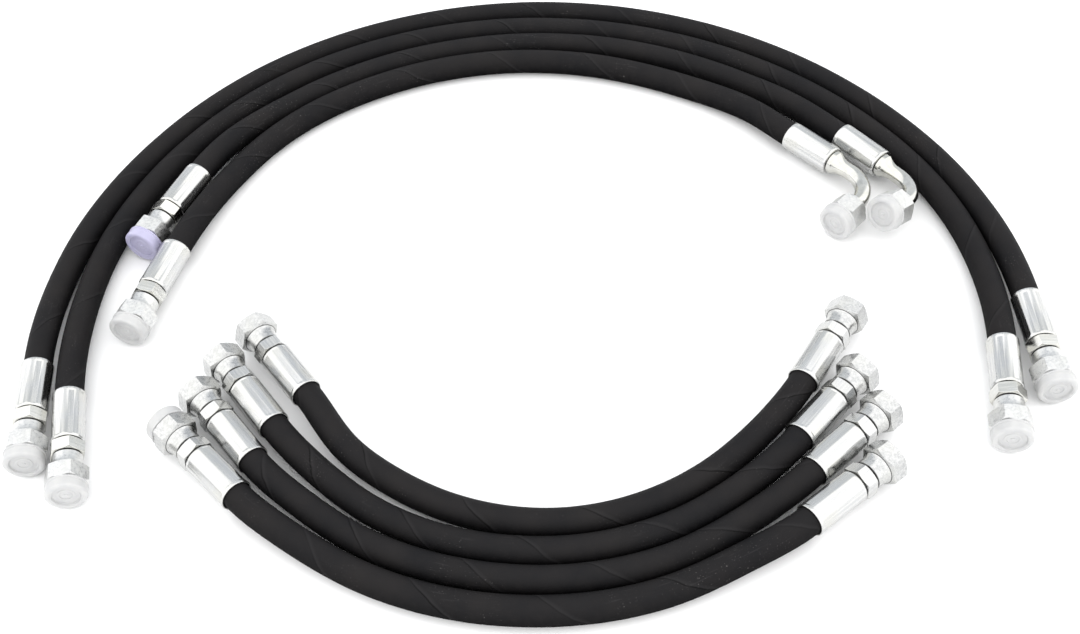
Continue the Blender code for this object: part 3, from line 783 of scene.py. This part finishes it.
def put(node, mesh, surface, place, body):
    """A detailed piece in place of one CAD node."""
    piece = link(f"{node}_look", mesh, surface)
    piece.matrix_world = place
    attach(piece, body)
    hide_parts(node)
    return piece


def stem_turn(end):
    return Matrix.Rotation(math.radians(STEM_TURNS[end]), 4, "Z")


def make_end(end, hose, place, meshes, paints):
    """One end's fitting, nut and cap."""
    made = []
    nut_back = Matrix.Translation((0.0, 0.0, NUT_START))
    size = STRAIGHT_NUT
    long = hose.startswith("long")
    if long:
        made.append(put(f"{end}_ferrule", meshes["ferrule"], paints["ferrule"], place, hose))
    if end in ELBOW_TILTS:
        tilt = ELBOW_TILTS[end]
        made.append(put(f"{end}_elbow", elbow_mesh(tilt), paints["elbow"], place, hose))
        nut_back = outlet_frame(tilt) @ Matrix.Translation((0.0, 0.0, ELBOW_NUT_BACK))
        size = ELBOW_NUT
    else:
        kind = "stem" if long else "fitting"
        turned = place @ stem_turn(end)
        made.append(put(f"{end}_{kind}", meshes[kind], paints[kind], turned, hose))
        soften(made[-1], STEM_SOFTENING)
    nut_paint = paints["elbow_nut" if end in ELBOW_TILTS else "long_nut" if long else "nut"]
    nut = put(f"{end}_nut", nut_mesh(size, NUT_TURNS[end]), nut_paint, place @ nut_back, f"{end}_nut")
    soften(nut, NUT_SOFTENING)
    made.append(nut)
    cap = f"{end}_cap"
    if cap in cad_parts:
        cap_place = place @ nut_back @ Matrix.Translation((0.0, 0.0, size[1]))
        cap_paint = paints["violet_cap" if end == "long_3_left" else "cap"]
        made.append(put(cap, meshes["cap"].copy(), cap_paint, cap_place, cap))
    return made


def make_set():
    paints = {
        "hose": hose_rubber(),
        "ferrule": zinc("ferrule_zinc", *FERRULE_SHADES, *FERRULE_FINISH),
        "stem": zinc("stem_zinc", *STEM_SHADES, *STEM_FINISH, STEM_CREVICES),
        "elbow": zinc("elbow_zinc", *ELBOW_SHADES, *ELBOW_FINISH),
        "nut": zinc("nut_zinc", *NUT_SHADES, *NUT_FINISH, NUT_CREVICES),
        "long_nut": zinc("long_nut_zinc", *LONG_NUT_SHADES, *LONG_NUT_FINISH, LONG_NUT_CREVICES),
        "elbow_nut": zinc("elbow_nut_zinc", *LONG_NUT_SHADES, *ELBOW_NUT_FINISH, ELBOW_NUT_CREVICES),
        "fitting": zinc("fitting_zinc", *FERRULE_SHADES, *FERRULE_FINISH, FITTING_CREVICES),
        "violet_cap": cap_plastic("cap_plastic_violet", (0.455, 0.44, 0.60), (0.41, 0.395, 0.545)),
        "cap": cap_plastic("cap_plastic", (0.54, 0.54, 0.535), (0.485, 0.487, 0.492)),
    }
    meshes = {"ferrule": ferrule_mesh(), "stem": stem_mesh(False), "fitting": stem_mesh(True),
              "cap": cap_mesh()}
    for index, (name, centre, stations, headings) in enumerate(HOSES):
        route, places = hose_route(centre, stations, headings)
        mesh = hose_mesh(f"{name}_tube", route, places, WRAP_SHIFT * index)
        hose = put(f"{name}_hose", mesh, paints["hose"], Matrix(), name)
        fittings = []
        for side, station, heading in zip(("left", "right"), (stations[0], stations[-1]), headings):
            place = end_frame(centre, station, heading)
            fittings += make_end(f"{name}_{side}", name, place, meshes, paints)


def make_floor():
    mesh = bpy.data.meshes.new("floor")
    corners = [(-1, -1), (1, -1), (1, 1), (-1, 1)]
    mesh.from_pydata([(x * FLOOR_REACH, y * FLOOR_REACH, 0) for x, y in corners], [], [(0, 1, 2, 3)])
    floor = link("floor", mesh, floor_paper())
    floor.location.z = FLOOR_LEVEL


make_camera()
make_set()
make_floor()
make_world()
bpy.context.scene.view_settings.view_transform = "Standard"
